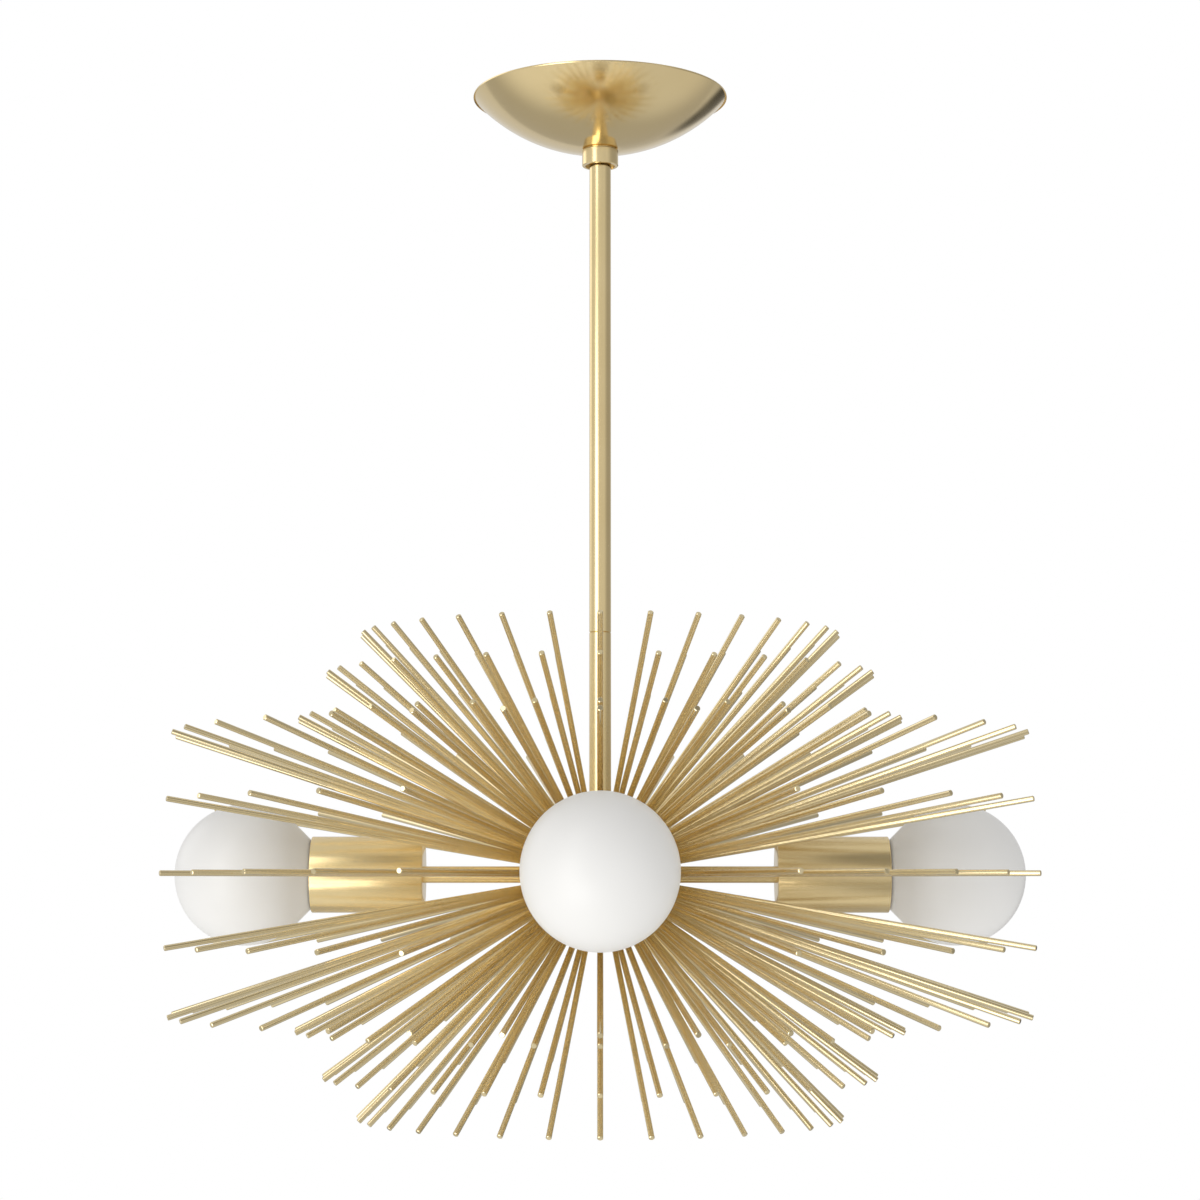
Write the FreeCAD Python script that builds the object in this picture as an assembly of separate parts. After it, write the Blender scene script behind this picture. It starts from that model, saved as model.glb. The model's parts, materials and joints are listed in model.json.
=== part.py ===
import FreeCAD, Part
import math
import os

os.makedirs("parts", exist_ok=True)

# Rod chandelier, four lamps. Millimetres and degrees.
# The origin is the centre of the ceiling plane, where the mounting bar meets the outlet box.
# +Z points up, -Y points to the front, and everything hangs below zero.

V = FreeCAD.Vector
CENTRE = V(0, 0, 0)
X_AXIS = V(1, 0, 0)
UP = V(0, 0, 1)
FULL_TURN = 360.0

# Clearances and cutting
thread_gap = 0.1  # radial play between a threaded piece and its hole
running_gap = 0.3  # play between pieces that move on each other
overrun = 1.0  # how far a cutter reaches past the surface that it cuts

# One-eighth pipe thread hardware
thread_d = 10.2
thread_bore_d = 7.0
thread_engaged = 12.0
nut_across_flats = 14.3
nut_t = 3.2
nut_sides = 6

# Mounting bar, flat steel, with a slot near each end for the outlet box's screws
bar_length = 101.6
bar_width = 20.0
bar_t = 2.0
bar_corner_r = 6.0
slot_spacing = 79.4
slot_length = 14.0
slot_width = 4.5

# Ground screw in the bar
ground_x = 22.0
ground_shank_d = 4.8
ground_shank_past_bar = 3.0
ground_head_d = 9.0
ground_head_t = 2.6
ground_slot_width = 1.2
ground_slot_depth = 1.2

# Ceiling nipple, from above the bar to inside the top of the stem
nipple_above_bar = 6.0

# Canopy, a spun brass dome with a small flat round the stem
canopy_d = 150.6
canopy_depth = 32.5
canopy_wall = 1.0

# Slip collar that holds the canopy up on the stem, with its screw
collar_d = 21.4
collar_length = 10.2
collar_recess_d = 17.6
collar_recess_depth = 1.6
set_screw_d = 4.0
set_screw_hex = 2.0
set_screw_hex_depth = 1.8

# Stem tubes
stem_d = 12.7
stem_bore_d = 10.4
stem_top_drop = 14.9
upper_stem_length = 304.8
lower_stem_length = 102.8
stem_end_chamfer = 0.4

# Hub, a hollow ball
hub_d = 76.2
hub_wall = 7.0
hub_port_d = 26.0
hub_cap_land = 4.0
hub_cap_spigot = 8.0
hub_cap_slot_width = 2.0
hub_cap_slot_depth = 1.5
hub_cap_slot_length = 20.0
hub_nipple_inside = 5.0

# Rods, one ring of them at each step of latitude
rod_d = 3.175
long_tip_r = 258.6
short_tip_r = 196.0
latitude_step = 9.0
rods_round = 32
ring_steps = 5
long_ring_steps = 2
lamp_ring_steps = 1
lamp_gap_places = 1

# Arms
arm_d = 9.525
arm_bore_d = 7.0
arm_visible = 63.5
arm_inside_hub = 1.5
arm_in_holder = 8.0

# Socket cups, with a flat bevel round the back and a finer one on the lip
cup_d = 43.8
cup_length = 64.6
cup_wall = 1.2
cup_floor_t = 2.0
cup_edge_chamfer = 0.5
cup_lip_chamfer = 0.3

# Lampholders for the medium screw base
holder_d = 36.0
holder_block_t = 12.0
holder_front_inset = 15.9
wire_hole_d = 5.0
shell_bore_d = 27.2
shell_t = 0.5
shell_floor_hole_d = 18.0
shell_front_inset = 0.8
contact_disc_d = 13.0
contact_disc_t = 1.0
contact_rivet_length = 2.5
contact_tongue_width = 5.0
contact_tongue_t = 0.8
contact_tongue_reach = 5.0

# Bulbs, opal globes on a medium screw base
globe_d = 81.4
glass_t = 0.9
glass_neck_d = 24.6
neck_straight = 4.4
neck_slope = 45.0
neck_bend_r = 12.0
neck_in_cap = 6.0
cap_d = 26.2
cap_length = 22.0
cap_t = 0.6
cap_tip_d = 16.0
cap_taper_length = 3.6
cap_floor_t = 2.2
tip_d = 9.6
tip_t = 2.5
tip_round_d = 6.0

# Heights and distances that follow from the sizes above
stem_top_z = -stem_top_drop
stem_joint_z = stem_top_z - upper_stem_length
stem_end_z = stem_joint_z - lower_stem_length
hub_r = hub_d / 2
stem_seat = math.sqrt(hub_r**2 - (stem_d / 2) ** 2)
hub_z = stem_end_z - stem_seat
cavity_r = hub_r - hub_wall
nut_corner_r = nut_across_flats / 2 / math.cos(math.pi / nut_sides)
nut_seat = math.sqrt(cavity_r**2 - (nut_corner_r + thread_gap) ** 2)
cup_back_r = hub_r + arm_visible
cup_floor_r = cup_back_r + cup_floor_t
cup_mouth_r = cup_back_r + cup_length
holder_back_r = cup_floor_r + nut_t
holder_floor_r = holder_back_r + holder_block_t
holder_front_r = cup_mouth_r - holder_front_inset
tip_face_r = holder_floor_r + contact_disc_t + contact_tongue_reach + running_gap
cap_face_r = tip_face_r + tip_t + running_gap
cap_rim_r = cap_face_r + cap_length
contact_disc_front_r = holder_floor_r + contact_disc_t
neck_bend_depth = neck_bend_r * (1 - math.cos(math.radians(neck_slope)))
neck_bend_length = neck_bend_r * math.sin(math.radians(neck_slope))
neck_cone_growth = globe_d / 2 * math.cos(math.radians(neck_slope)) - glass_neck_d / 2 - neck_bend_depth
neck_cone_length = neck_cone_growth / math.tan(math.radians(neck_slope))
neck_cone_end_r = cap_rim_r + neck_straight + neck_bend_length + neck_cone_length
globe_centre_r = neck_cone_end_r + globe_d / 2 * math.sin(math.radians(neck_slope))
lamp_azimuths = {"front": 0.0, "right": 90.0, "back": 180.0, "left": 270.0}


def save(name, shape):
    shape.exportStep("parts/" + name + ".step")


def polygon_face(points):
    return Part.Face(Part.makePolygon(points + points[:1]))


def lathe(outline):
    """A solid turned about Z from (radius, height) points."""
    face = polygon_face([V(radius, 0, height) for radius, height in outline])
    return face.revolve(CENTRE, UP, FULL_TURN)


def tube(outer_d, inner_d, low, high):
    outline = [(inner_d / 2, low), (outer_d / 2, low), (outer_d / 2, high), (inner_d / 2, high)]
    return lathe(outline)


def rod_along(diameter, low, high):
    return Part.makeCylinder(diameter / 2, high - low, V(0, 0, low))


def hex_nut(low):
    corners = [
        V(nut_corner_r * math.cos(2 * math.pi * i / nut_sides),
          nut_corner_r * math.sin(2 * math.pi * i / nut_sides), low)
        for i in range(nut_sides)
    ]
    blank = polygon_face(corners).extrude(UP * nut_t)
    hole = rod_along(thread_d + 2 * thread_gap, low - overrun, low + nut_t + overrun)
    return blank.cut(hole)


def on_lamp_axis(shape, azimuth):
    """Turns a shape made along Z so that it points out of the hub at an azimuth from the front."""
    placed = shape.copy()
    placed.rotate(CENTRE, X_AXIS, FULL_TURN / 4)
    placed.rotate(CENTRE, UP, azimuth)
    placed.translate(UP * hub_z)
    return placed


def mounting_bar():
    """The bar's centre hole is tapped for the nipple, which one nut locks from below, so the
    top face lies clean against the box."""
    half_length = bar_length / 2
    half_width = bar_width / 2
    blank = Part.makeBox(bar_length, bar_width, bar_t, V(-half_length, -half_width, -bar_t))
    ends = [e for e in blank.Edges if abs(e.Vertexes[0].Z - e.Vertexes[-1].Z) > bar_t / 2]
    bar = blank.makeFillet(bar_corner_r, ends)
    depth = bar_t + 2 * overrun
    straight = slot_length - slot_width
    for side in (-1, 1):
        middle = side * slot_spacing / 2
        low = V(middle - straight / 2, -slot_width / 2, -bar_t - overrun)
        cutter = Part.makeBox(straight, slot_width, depth, low)
        for end in (-1, 1):
            centre = V(middle + end * straight / 2, 0, -bar_t - overrun)
            cutter = cutter.fuse(Part.makeCylinder(slot_width / 2, depth, centre))
        bar = bar.cut(cutter)
    bar = bar.cut(rod_along(thread_d + 2 * thread_gap, -bar_t - overrun, overrun))
    ground_hole = rod_along(ground_shank_d + 2 * thread_gap, -bar_t - overrun, overrun)
    return bar.cut(ground_hole.translate(X_AXIS * ground_x))


def ground_screw():
    head_low = -bar_t - ground_head_t
    screw = rod_along(ground_head_d, head_low, -bar_t)
    screw = screw.fuse(rod_along(ground_shank_d, head_low, ground_shank_past_bar))
    slot_low = V(-ground_head_d, -ground_slot_width / 2, head_low - overrun)
    slot_height = ground_slot_depth + overrun
    slot = Part.makeBox(2 * ground_head_d, ground_slot_width, slot_height, slot_low)
    return screw.cut(slot).translate(X_AXIS * ground_x)


def nipple(low, high):
    return tube(thread_d, thread_bore_d, low, high)


def canopy():
    """The dome's curve is an arc through the rim, so its radius follows from width and depth."""
    rim_r = canopy_d / 2
    dome_r = (rim_r**2 + canopy_depth**2) / (2 * canopy_depth)
    inner_r = dome_r - canopy_wall
    dome_z = dome_r - canopy_depth
    flat_r = collar_d / 2 + canopy_wall
    hole_r = stem_d / 2 + running_gap

    def at(radius, curve_r):
        return V(radius, 0, dome_z - math.sqrt(curve_r**2 - radius**2))

    inner_rim_r = math.sqrt(inner_r**2 - dome_z**2)
    outer_flat = at(flat_r, dome_r)
    inner_flat = V(flat_r, 0, outer_flat.z + canopy_wall)
    inner_rim = V(inner_rim_r, 0, 0)
    outer_arc = Part.Arc(outer_flat, at((flat_r + rim_r) / 2, dome_r), V(rim_r, 0, 0))
    inner_start = at(flat_r, inner_r)
    inner_arc = Part.Arc(inner_rim, at((flat_r + inner_rim_r) / 2, inner_r), inner_start)
    edges = [
        outer_arc.toShape(),
        Part.makeLine(V(rim_r, 0, 0), inner_rim),
        inner_arc.toShape(),
        Part.makeLine(inner_start, inner_flat),
        Part.makeLine(inner_flat, V(hole_r, 0, inner_flat.z)),
        Part.makeLine(V(hole_r, 0, inner_flat.z), V(hole_r, 0, outer_flat.z)),
        Part.makeLine(V(hole_r, 0, outer_flat.z), outer_flat),
    ]
    return Part.Face(Part.Wire(edges)).revolve(CENTRE, UP, FULL_TURN), outer_flat.z


def collar(top):
    bore_r = stem_d / 2 + running_gap
    low = top - collar_length
    outline = [
        (bore_r, top),
        (collar_d / 2, top),
        (collar_d / 2, low),
        (collar_recess_d / 2, low),
        (collar_recess_d / 2, low + collar_recess_depth),
        (bore_r, low + collar_recess_depth),
    ]
    screw_z = top - collar_length / 2
    start = V(0, 0, screw_z)
    hole = Part.makeCylinder(set_screw_d / 2 + thread_gap, collar_d, start, V(0, 1, 0))
    return lathe(outline).cut(hole)


def set_screw(top):
    """A headless screw at the back of the collar, flush with it, with a hexagon socket."""
    screw_z = top - collar_length / 2
    inner = stem_d / 2 + running_gap
    outer = math.sqrt((collar_d / 2) ** 2 - (set_screw_d / 2) ** 2)
    screw = rod_along(set_screw_d, inner, outer)
    corner = set_screw_hex / 2 / math.cos(math.pi / nut_sides)
    floor = outer - set_screw_hex_depth
    corners = [
        V(corner * math.cos(2 * math.pi * i / nut_sides),
          corner * math.sin(2 * math.pi * i / nut_sides), floor)
        for i in range(nut_sides)
    ]
    socket = polygon_face(corners).extrude(UP * (set_screw_hex_depth + overrun))
    screw = screw.cut(socket)
    screw.rotate(CENTRE, X_AXIS, -FULL_TURN / 4)
    return screw.translate(UP * screw_z)


def stem(low, high):
    outer = stem_d / 2
    inner = stem_bore_d / 2
    edge = outer - stem_end_chamfer
    outline = [
        (inner, low),
        (edge, low),
        (outer, low + stem_end_chamfer),
        (outer, high - stem_end_chamfer),
        (edge, high),
        (inner, high),
    ]
    return lathe(outline)


def hub_ball():
    """A hollow ball, flat where the stem, its nut and the bottom cap seat, bored for four arms."""
    port_r = hub_port_d / 2
    cap_seat = math.sqrt(hub_r**2 - (port_r + hub_cap_land) ** 2)
    ball = Part.makeSphere(hub_r)
    keep = rod_along(2 * hub_d, -cap_seat, stem_seat)
    cavity = Part.makeSphere(cavity_r).common(rod_along(2 * hub_d, -hub_r, nut_seat))
    ball = ball.common(keep).cut(cavity)
    ball = ball.cut(rod_along(thread_d + 2 * thread_gap, 0, hub_d))
    ball = ball.cut(rod_along(hub_port_d + 2 * thread_gap, -hub_d, 0))
    arm_hole = rod_along(arm_d + 2 * thread_gap, 0, hub_d)
    for azimuth in lamp_azimuths.values():
        ball = ball.cut(on_lamp_axis(arm_hole, azimuth).translate(UP * -hub_z))
    return ball.translate(UP * hub_z)


def hub_bottom_cap():
    """The plug that closes the wiring port and completes the ball, with a slot to turn it."""
    port_r = hub_port_d / 2
    cap_seat = math.sqrt(hub_r**2 - (port_r + hub_cap_land) ** 2)
    lid = Part.makeSphere(hub_r).common(rod_along(2 * hub_d, -hub_r, -cap_seat))
    plug = lid.fuse(rod_along(hub_port_d, -cap_seat, -cap_seat + hub_cap_spigot))
    low = V(-hub_cap_slot_length / 2, -hub_cap_slot_width / 2, -hub_r - overrun)
    height = hub_cap_slot_depth + overrun
    slot = Part.makeBox(hub_cap_slot_length, hub_cap_slot_width, height, low)
    return plug.cut(slot).removeSplitter().translate(UP * hub_z)


def rod_ring(step):
    """One ring of rods, screwed tight against the ball. The rings level with the lamps leave
    room round each socket."""
    tip_r = long_tip_r if abs(step) <= long_ring_steps else short_tip_r
    places_per_lamp = rods_round // len(lamp_azimuths)
    latitude = math.radians(latitude_step * step)
    rods = []
    for place in range(rods_round):
        from_lamp = min(place % places_per_lamp, -place % places_per_lamp)
        if abs(step) <= lamp_ring_steps and from_lamp <= lamp_gap_places:
            continue
        azimuth = 2 * math.pi * place / rods_round
        outward = V(
            math.cos(latitude) * math.sin(azimuth),
            -math.cos(latitude) * math.cos(azimuth),
            math.sin(latitude),
        )
        start = UP * hub_z + outward * hub_r
        rods.append(Part.makeCylinder(rod_d / 2, tip_r - hub_r, start, outward))
    return Part.makeCompound(rods)


def arm():
    return tube(arm_d, arm_bore_d, cavity_r - arm_inside_hub, holder_back_r + arm_in_holder)


def socket_cup():
    outer = cup_d / 2
    inner = outer - cup_wall
    hole = arm_d / 2 + thread_gap
    outline = [
        (hole, cup_back_r),
        (outer - cup_edge_chamfer, cup_back_r),
        (outer, cup_back_r + cup_edge_chamfer),
        (outer, cup_mouth_r - cup_lip_chamfer),
        (outer - cup_lip_chamfer, cup_mouth_r),
        (inner, cup_mouth_r),
        (inner, cup_floor_r),
        (hole, cup_floor_r),
    ]
    return lathe(outline)


def lampholder():
    """The insulating body: a thick back block on the arm's end, and a deep well for the shell."""
    outer = holder_d / 2
    well = shell_bore_d / 2 + shell_t + thread_gap
    arm_hole = arm_d / 2 + thread_gap
    wire_hole = wire_hole_d / 2
    arm_end_r = holder_back_r + arm_in_holder + thread_gap
    outline = [
        (arm_hole, holder_back_r),
        (outer, holder_back_r),
        (outer, holder_front_r),
        (well, holder_front_r),
        (well, holder_floor_r),
        (wire_hole, holder_floor_r),
        (wire_hole, arm_end_r),
        (arm_hole, arm_end_r),
    ]
    return lathe(outline)


def holder_shell():
    inner = shell_bore_d / 2
    front = holder_front_r - shell_front_inset
    outline = [
        (shell_floor_hole_d / 2, holder_floor_r),
        (inner + shell_t, holder_floor_r),
        (inner + shell_t, front),
        (inner, front),
        (inner, holder_floor_r + shell_t),
        (shell_floor_hole_d / 2, holder_floor_r + shell_t),
    ]
    return lathe(outline)


def holder_contact():
    """A disc riveted to the block, with a sprung tongue that rises to the bulb's tip."""
    disc_r = contact_disc_d / 2
    disc = rod_along(contact_disc_d, holder_floor_r, contact_disc_front_r)
    rivet_d = wire_hole_d - 2 * thread_gap
    rivet = rod_along(rivet_d, holder_floor_r - contact_rivet_length, holder_floor_r)
    top = contact_disc_front_r + contact_tongue_reach
    half_width = contact_tongue_width / 2
    side_view = [
        V(-disc_r + half_width, -half_width, contact_disc_front_r),
        V(-disc_r + half_width + contact_tongue_t, -half_width, contact_disc_front_r),
        V(0, -half_width, top - contact_tongue_t),
        V(half_width, -half_width, top - contact_tongue_t),
        V(half_width, -half_width, top),
        V(-contact_tongue_t, -half_width, top),
    ]
    tongue = polygon_face(side_view).extrude(V(0, contact_tongue_width, 0))
    return disc.fuse([rivet, tongue]).removeSplitter()


def globe_edges(globe_r, neck_r, neck_start_r):
    """The globe's outline from its neck to its outer end: a straight neck, a bend, a cone that
    touches the globe, and the globe."""
    slope = math.radians(neck_slope)
    join = V(globe_r * math.cos(slope), 0, globe_centre_r - globe_r * math.sin(slope))
    bend_r = neck_bend_r + globe_d / 2 - globe_r
    bend_centre_x = neck_r + bend_r
    bend_end_x = bend_centre_x - bend_r * math.cos(slope)
    bend_end_z = join.z - (join.x - bend_end_x) / math.tan(slope)
    bend_centre_z = bend_end_z - bend_r * math.sin(slope)

    def on_bend(angle):
        x = bend_centre_x - bend_r * math.cos(angle)
        return V(x, 0, bend_centre_z + bend_r * math.sin(angle))

    neck_low = V(neck_r, 0, neck_start_r)
    neck_high = on_bend(0)
    bend_end = on_bend(slope)
    pole = V(0, 0, globe_centre_r + globe_r)
    rise = (math.pi / 2 - slope) / 2
    middle = V(globe_r * math.cos(rise), 0, globe_centre_r + globe_r * math.sin(rise))
    return [
        Part.makeLine(neck_low, neck_high),
        Part.Arc(neck_high, on_bend(slope / 2), bend_end).toShape(),
        Part.makeLine(bend_end, join),
        Part.Arc(join, middle, pole).toShape(),
    ]


def bulb_globe():
    neck_r = glass_neck_d / 2
    neck_start_r = cap_rim_r - neck_in_cap
    outer = globe_edges(globe_d / 2, neck_r, neck_start_r)
    inner = globe_edges(globe_d / 2 - glass_t, neck_r - glass_t, neck_start_r)
    bottom = Part.makeLine(V(neck_r - glass_t, 0, neck_start_r), V(neck_r, 0, neck_start_r))
    globe_end = globe_centre_r + globe_d / 2
    pole = Part.makeLine(V(0, 0, globe_end), V(0, 0, globe_end - glass_t))
    wire = Part.Wire(Part.__sortEdges__(outer + inner + [bottom, pole]))
    return Part.Face(wire).revolve(CENTRE, UP, FULL_TURN)


def bulb_cap():
    outer = cap_d / 2
    inner = outer - cap_t
    taper_end_r = cap_face_r + cap_taper_length
    outline = [
        (0, cap_face_r),
        (cap_tip_d / 2, cap_face_r),
        (outer, taper_end_r),
        (outer, cap_rim_r),
        (inner, cap_rim_r),
        (inner, taper_end_r + cap_t),
        (cap_tip_d / 2, cap_face_r + cap_floor_t),
        (0, cap_face_r + cap_floor_t),
    ]
    return lathe(outline)


def bulb_tip():
    outline = [
        (0, tip_face_r),
        (tip_round_d / 2, tip_face_r),
        (tip_d / 2, tip_face_r + (tip_d - tip_round_d) / 2),
        (tip_d / 2, tip_face_r + tip_t),
        (0, tip_face_r + tip_t),
    ]
    return lathe(outline)


# Ceiling hardware
save("mounting_bar", mounting_bar())
save("ground_screw", ground_screw())
save("bar_locknut", hex_nut(-bar_t - nut_t))
save("ceiling_nipple", nipple(stem_top_z - thread_engaged, nipple_above_bar))

# Canopy and what holds it up
canopy_shape, canopy_low = canopy()
save("canopy", canopy_shape)
save("canopy_collar", collar(canopy_low))
save("collar_set_screw", set_screw(canopy_low))

# Stem
save("upper_stem", stem(stem_joint_z, stem_top_z))
save("stem_coupling", nipple(stem_joint_z - thread_engaged, stem_joint_z + thread_engaged))
save("lower_stem", stem(stem_end_z, stem_joint_z))

# Hub
save("hub_ball", hub_ball())
save("hub_bottom_cap", hub_bottom_cap())
save("hub_nipple", nipple(hub_z + nut_seat - nut_t - hub_nipple_inside, stem_end_z + thread_engaged))
save("hub_locknut", hex_nut(hub_z + nut_seat - nut_t))

# Rods, ring by ring
save("rods_equator", rod_ring(0))
for ring in range(1, ring_steps + 1):
    save("rods_upper_" + str(ring), rod_ring(ring))
    save("rods_lower_" + str(ring), rod_ring(-ring))

# Lamps
lamp_pieces = {
    "arm": arm(),
    "socket_cup": socket_cup(),
    "lampholder": lampholder(),
    "holder_shell": holder_shell(),
    "holder_contact": holder_contact(),
    "bulb_globe": bulb_globe(),
    "bulb_cap": bulb_cap(),
    "bulb_tip": bulb_tip(),
}
for place, azimuth in lamp_azimuths.items():
    for piece, shape in lamp_pieces.items():
        save(piece + "_" + place, on_lamp_axis(shape, azimuth))
cup_nut = hex_nut(cup_floor_r)
cup_nuts = [on_lamp_axis(cup_nut, azimuth) for azimuth in lamp_azimuths.values()]
save("cup_locknuts", Part.makeCompound(cup_nuts))
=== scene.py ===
import json
import math
import bpy
from mathutils import Matrix, Vector

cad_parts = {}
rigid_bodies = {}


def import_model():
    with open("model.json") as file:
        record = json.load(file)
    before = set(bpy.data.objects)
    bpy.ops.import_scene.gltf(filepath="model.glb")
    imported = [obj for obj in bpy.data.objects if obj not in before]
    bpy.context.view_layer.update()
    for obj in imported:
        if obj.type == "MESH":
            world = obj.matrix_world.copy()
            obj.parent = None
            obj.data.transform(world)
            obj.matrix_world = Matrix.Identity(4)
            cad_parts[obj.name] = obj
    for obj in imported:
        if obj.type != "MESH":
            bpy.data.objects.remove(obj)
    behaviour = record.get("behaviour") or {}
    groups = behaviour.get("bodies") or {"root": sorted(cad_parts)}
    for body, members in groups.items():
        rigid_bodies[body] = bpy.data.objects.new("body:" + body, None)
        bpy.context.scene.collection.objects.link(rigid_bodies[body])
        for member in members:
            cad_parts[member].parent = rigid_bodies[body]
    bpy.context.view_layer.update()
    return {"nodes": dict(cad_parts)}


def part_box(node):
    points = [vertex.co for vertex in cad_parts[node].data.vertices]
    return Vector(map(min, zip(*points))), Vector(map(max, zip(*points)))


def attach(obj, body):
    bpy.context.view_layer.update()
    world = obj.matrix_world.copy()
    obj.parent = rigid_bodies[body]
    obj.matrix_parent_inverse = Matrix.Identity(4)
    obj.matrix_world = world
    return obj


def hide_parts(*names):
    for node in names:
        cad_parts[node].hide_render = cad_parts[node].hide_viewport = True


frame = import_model()

# Studio camera, level with the ball and tilted up a little, so that the lamps stand level
# and the underside of the canopy shows. Its places are measured from the ball's centre.
arm_low, arm_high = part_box("arm_left")
hub_z = (arm_low.z + arm_high.z) / 2
camera_side = -0.0001
camera_back = 1.6158
camera_drop = 0.0131
camera_tilt = math.radians(6.094)
camera_sensor = 36.0
camera_lens = 83.58
camera_near = 0.05
camera_far = 60.0
camera_data = bpy.data.cameras.new("studio_camera")
camera_data.sensor_width = camera_sensor
camera_data.lens = camera_lens
camera_data.clip_start = camera_near
camera_data.clip_end = camera_far
camera = bpy.data.objects.new("studio_camera", camera_data)
camera.location = (camera_side, -camera_back, hub_z - camera_drop)
camera.rotation_euler = (math.pi / 2 + camera_tilt, 0, 0)
bpy.context.scene.collection.objects.link(camera)
bpy.context.scene.camera = camera
bpy.context.scene.view_settings.view_transform = "Standard"

# Studio lamps: a tall soft box at the left of the camera, and a small one close to the object
# under the lens. Both are aimed at the ball, and neither the lens nor the metal sees them: the
# metal mirrors the cards of the next section instead.
studio_white = (1, 1, 1, 1)


def aim(azimuth, elevation):
    """The direction from the ball. Azimuth is from the front, positive to the right."""
    turn = math.radians(azimuth)
    rise = math.radians(elevation)
    return Vector((math.sin(turn) * math.cos(rise), -math.cos(turn) * math.cos(rise), math.sin(rise)))


def soft_box(name, azimuth, elevation, distance, width, height, watts):
    """A rectangular lamp that faces the ball."""
    away = aim(azimuth, elevation)
    data = bpy.data.lights.new(name, "AREA")
    data.shape = "RECTANGLE"
    data.size = width
    data.size_y = height
    data.energy = watts
    lamp = bpy.data.objects.new(name, data)
    lamp.location = Vector((0, 0, hub_z)) + away * distance
    lamp.rotation_euler = (-away).to_track_quat("-Z", "Y").to_euler()
    lamp.visible_camera = False
    lamp.visible_glossy = False
    bpy.context.scene.collection.objects.link(lamp)


soft_box("key_soft_box", azimuth=-38, elevation=-10, distance=1.8, width=0.7, height=2.1, watts=8.2)
soft_box("low_soft_box", azimuth=-14, elevation=-24, distance=1.1, width=0.36, height=0.3, watts=0.6)

# Reflectors: a white card at each lamp and one above them, seen only in the metal. Each is
# brightest along its middle and fades out towards its side edges.
card_middle = 0.5
card_fade_reach = 0.42


def reflector(name, azimuth, elevation, distance, width, height, level):
    """A glowing card that faces the ball, clear where it has faded out."""
    away = aim(azimuth, elevation)
    bpy.ops.mesh.primitive_plane_add(size=1)
    card = bpy.context.object
    card.name = name
    card.scale = (width, height, 1)
    card.location = Vector((0, 0, hub_z)) + away * distance
    card.rotation_euler = away.to_track_quat("Z", "Y").to_euler()
    bpy.ops.object.transform_apply(location=True, rotation=True, scale=True)
    card.visible_camera = False
    card.visible_diffuse = False
    card.visible_transmission = False
    card.visible_shadow = False
    paint = bpy.data.materials.new(name + "_white")
    paint.use_nodes = True
    paint.cycles.emission_sampling = "NONE"
    nodes = paint.node_tree.nodes
    links = paint.node_tree.links
    nodes.clear()
    place = nodes.new("ShaderNodeTexCoord")
    split = nodes.new("ShaderNodeSeparateXYZ")
    links.new(place.outputs["UV"], split.inputs[0])
    from_edge = nodes.new("ShaderNodeMath")
    from_edge.operation = "PINGPONG"
    from_edge.inputs[1].default_value = card_middle
    links.new(split.outputs["X"], from_edge.inputs[0])
    fade = nodes.new("ShaderNodeMapRange")
    fade.interpolation_type = "SMOOTHSTEP"
    fade.inputs["From Max"].default_value = card_fade_reach
    fade.inputs["To Max"].default_value = level
    links.new(from_edge.outputs[0], fade.inputs["Value"])
    glow = nodes.new("ShaderNodeEmission")
    glow.inputs["Color"].default_value = studio_white
    links.new(fade.outputs["Result"], glow.inputs["Strength"])
    clear = nodes.new("ShaderNodeBsdfTransparent")
    both = nodes.new("ShaderNodeAddShader")
    links.new(glow.outputs[0], both.inputs[0])
    links.new(clear.outputs[0], both.inputs[1])
    out = nodes.new("ShaderNodeOutputMaterial")
    links.new(both.outputs[0], out.inputs["Surface"])
    card.data.materials.append(paint)


reflector("key_reflector", azimuth=-38, elevation=-10, distance=1.8, width=1.7, height=2.1, level=2.6)
reflector("high_reflector", azimuth=-36, elevation=38, distance=1.8, width=1.0, height=0.7, level=2.3)
reflector("low_reflector", azimuth=-14, elevation=-26, distance=1.1, width=0.5, height=0.36, level=2.6)

# Room: the lens and the glass see plain white beyond the object, and matt surfaces get an even
# light. Metal mirrors the same white walls, shaded and lit in soft patches, over a darker floor.
room = bpy.data.worlds.new("studio_room")
bpy.context.scene.world = room
room.use_nodes = True
room.cycles.sampling_method = "NONE"
room_nodes = room.node_tree.nodes
room_links = room.node_tree.links
room_nodes.clear()
room_way = room_nodes.new("ShaderNodeTexCoord").outputs["Generated"]
room_even_light = 0.68
wall_foot = math.sin(math.radians(-9))
wall_top = math.sin(math.radians(3))
wall_foot_level = 0.66
wall_level = 0.72
ground_edge = math.sin(math.radians(-22))
ground_edge_blur = 0.01
ground_level = 0.45


def room_sum(operation, first, second):
    """Two values or sockets, put together by an operation."""
    node = room_nodes.new("ShaderNodeMath")
    node.operation = operation
    for socket, value in zip(node.inputs, (first, second)):
        if isinstance(value, (int, float)):
            socket.default_value = value
        else:
            room_links.new(value, socket)
    return node.outputs[0]


def room_fade(source, start, end, first, last):
    """A smooth change from the first value to the last, between the source's start and end."""
    fade = room_nodes.new("ShaderNodeMapRange")
    fade.interpolation_type = "SMOOTHSTEP"
    fade.inputs["From Min"].default_value = start
    fade.inputs["From Max"].default_value = end
    fade.inputs["To Min"].default_value = first
    fade.inputs["To Max"].default_value = last
    room_links.new(source, fade.inputs["Value"])
    return fade.outputs["Result"]


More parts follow.
